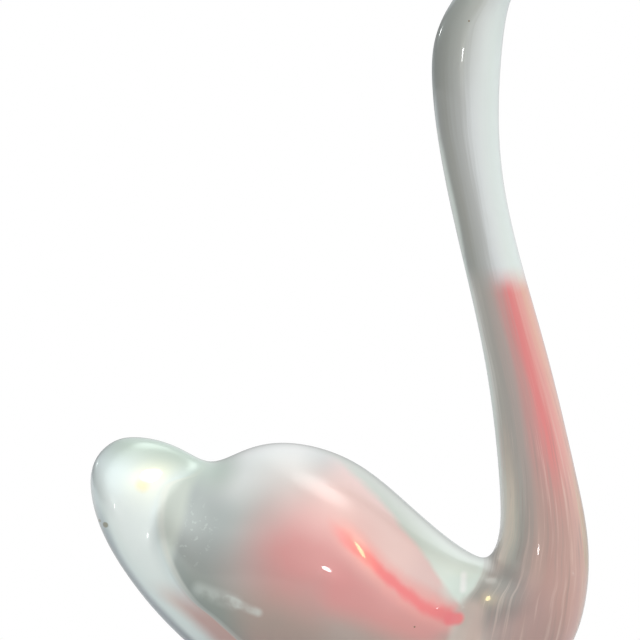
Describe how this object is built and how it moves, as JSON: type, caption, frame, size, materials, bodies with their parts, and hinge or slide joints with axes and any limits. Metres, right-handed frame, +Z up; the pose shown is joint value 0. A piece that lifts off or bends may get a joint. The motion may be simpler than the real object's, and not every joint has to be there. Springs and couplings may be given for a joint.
{
  "type": "porcelain swan sculpture",
  "caption": "Stylised porcelain swan with upturned tail, folded wings and a tall curved neck, pearl glaze with pink shading, standing on a flat foot.",
  "frame": {"origin": "on the flat foot's plane, under the middle of the swan's length and width", "axes": "+X the way the swan looks, +Y to its left side, +Z up; Y = 0 is the plane of symmetry"},
  "size_m": [0.154, 0.071, 0.222],
  "materials": {
    "pearl_glaze": "glossy mother-of-pearl glaze on white porcelain, airbrushed pink"
  },
  "bodies": {
    "root": {"swan": "pearl_glaze"}
  },
  "joints": []
}
